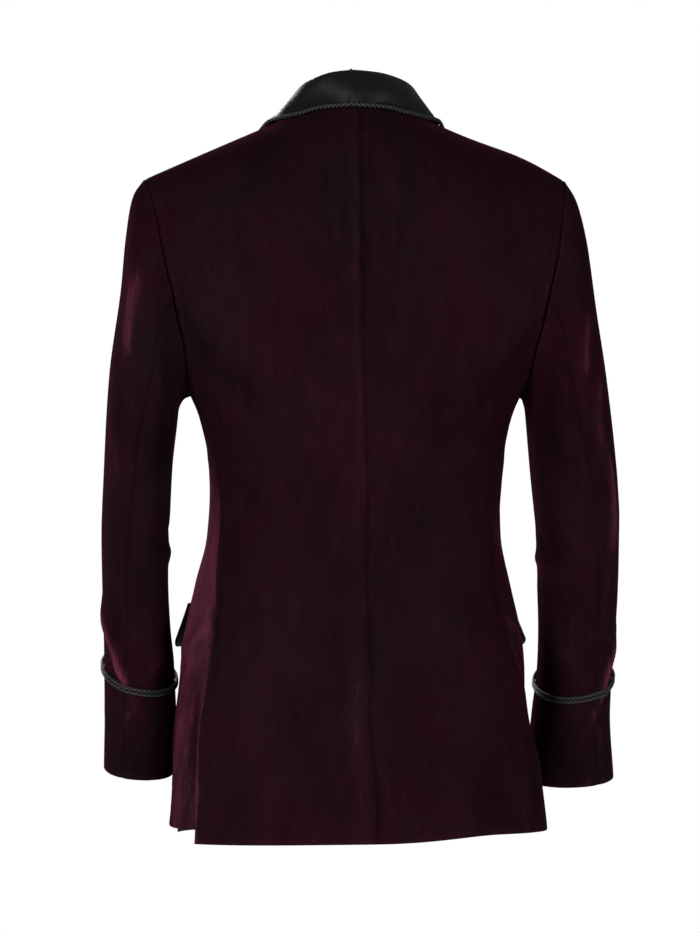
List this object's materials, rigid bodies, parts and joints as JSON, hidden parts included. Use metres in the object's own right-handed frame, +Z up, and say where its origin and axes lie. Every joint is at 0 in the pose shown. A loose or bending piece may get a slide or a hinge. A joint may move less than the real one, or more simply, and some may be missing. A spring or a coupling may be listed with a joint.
{
  "type": "smoking jacket",
  "caption": "Hollow velvet smoking jacket in its worn form, with satin shawl collar, corded collar and cuffs, side vents and flap pockets.",
  "frame": {"origin": "middle of the neck opening, level with the tops of the shoulders, where the wearer holds it", "axes": "+Z up, -Y towards the front, +X towards the wearer's left"},
  "size_m": [0.5445, 0.2776, 0.7867],
  "materials": {
    "velvet": "deep burgundy velvet",
    "satin": "black satin",
    "cord": "black twisted cord"
  },
  "bodies": {
    "root": {"back_left": "velvet", "back_right": "velvet", "side_left": "velvet", "side_right": "velvet", "front_left": "velvet", "front_right": "velvet", "sleeve_top_left": "velvet", "sleeve_top_right": "velvet", "sleeve_under_left": "velvet", "sleeve_under_right": "velvet", "collar_left": "satin", "collar_right": "satin", "pocket_flap_left": "satin", "pocket_flap_right": "satin", "button": "satin", "collar_cord_left": "cord", "collar_cord_right": "cord", "cuff_cord_upper_left": "cord", "cuff_cord_lower_left": "cord", "cuff_cord_upper_right": "cord", "cuff_cord_lower_right": "cord"}
  },
  "joints": []
}
